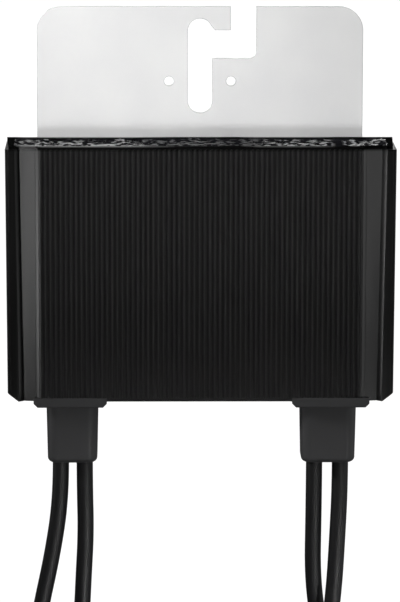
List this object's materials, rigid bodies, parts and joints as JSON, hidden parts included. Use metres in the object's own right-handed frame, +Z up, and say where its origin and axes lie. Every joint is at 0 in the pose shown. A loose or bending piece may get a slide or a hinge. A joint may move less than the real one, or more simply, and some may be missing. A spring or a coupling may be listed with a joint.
{
  "type": "solar power optimizer",
  "caption": "Ribbed black resin-filled box on a slotted hanging bracket, with moulded cable glands below and cables ending in plug connectors.",
  "frame": {"origin": "centre of the bracket slot's round top end, where the hanging bolt sits, on the bracket's back face against the rail", "axes": "+Z up when the unit hangs on its bolt, +Y towards the rail behind it, +X to the right seen from the ribbed front"},
  "size_m": [0.1565, 0.04, 0.3726],
  "materials": {
    "housing_plastic": "fine satin, moulded",
    "potting_resin": "glossy, poured",
    "bracket_steel": "satin, plated sheet",
    "screw_steel": "satin",
    "gland_plastic": "satin, moulded",
    "cable_jacket": "satin",
    "tie_nylon": "satin",
    "copper_wire": "tinned, satin",
    "circuit_laminate": "satin",
    "ferrite": "matte, sintered",
    "copper_winding": "enamelled",
    "component_epoxy": "matte, moulded",
    "capacitor_case": "gloss, moulded",
    "shunt_alloy": "satin",
    "connector_plastic": "satin, moulded",
    "contact_metal": "tin plated, satin",
    "seal_rubber": "soft, matte"
  },
  "bodies": {
    "root": {"mounting_bracket": "bracket_steel", "housing": "housing_plastic", "potting": "potting_resin", "input_gland": "gland_plastic", "output_gland": "gland_plastic", "bracket_screws": "screw_steel", "circuit_board": "circuit_laminate", "inductor_core_left": "ferrite", "inductor_winding_left": "copper_winding", "inductor_core_right": "ferrite", "inductor_winding_right": "copper_winding", "power_transistors": "component_epoxy", "bypass_diode": "component_epoxy", "input_capacitors": "capacitor_case", "output_capacitors": "capacitor_case", "control_chip": "component_epoxy", "signal_transformer": "component_epoxy", "current_shunt": "shunt_alloy", "input_negative_conductor": "copper_wire", "input_positive_conductor": "copper_wire", "output_negative_conductor": "copper_wire", "output_positive_conductor": "copper_wire", "input_negative_cable": "cable_jacket", "input_positive_cable": "cable_jacket", "output_positive_cable": "cable_jacket", "output_positive_coil": "cable_jacket", "output_positive_tail": "cable_jacket", "output_negative_cable": "cable_jacket", "output_negative_coil": "cable_jacket", "output_negative_tail": "cable_jacket", "coil_ties": "tie_nylon", "input_negative_connector_nut": "connector_plastic", "input_negative_contact": "contact_metal", "input_negative_socket": "connector_plastic", "input_negative_seal": "seal_rubber", "input_positive_connector_nut": "connector_plastic", "input_positive_contact": "contact_metal", "input_positive_plug": "connector_plastic", "output_positive_connector_nut": "connector_plastic", "output_positive_contact": "contact_metal", "output_positive_plug": "connector_plastic", "output_negative_connector_nut": "connector_plastic", "output_negative_contact": "contact_metal", "output_negative_socket": "connector_plastic", "output_negative_seal": "seal_rubber"}
  },
  "joints": []
}
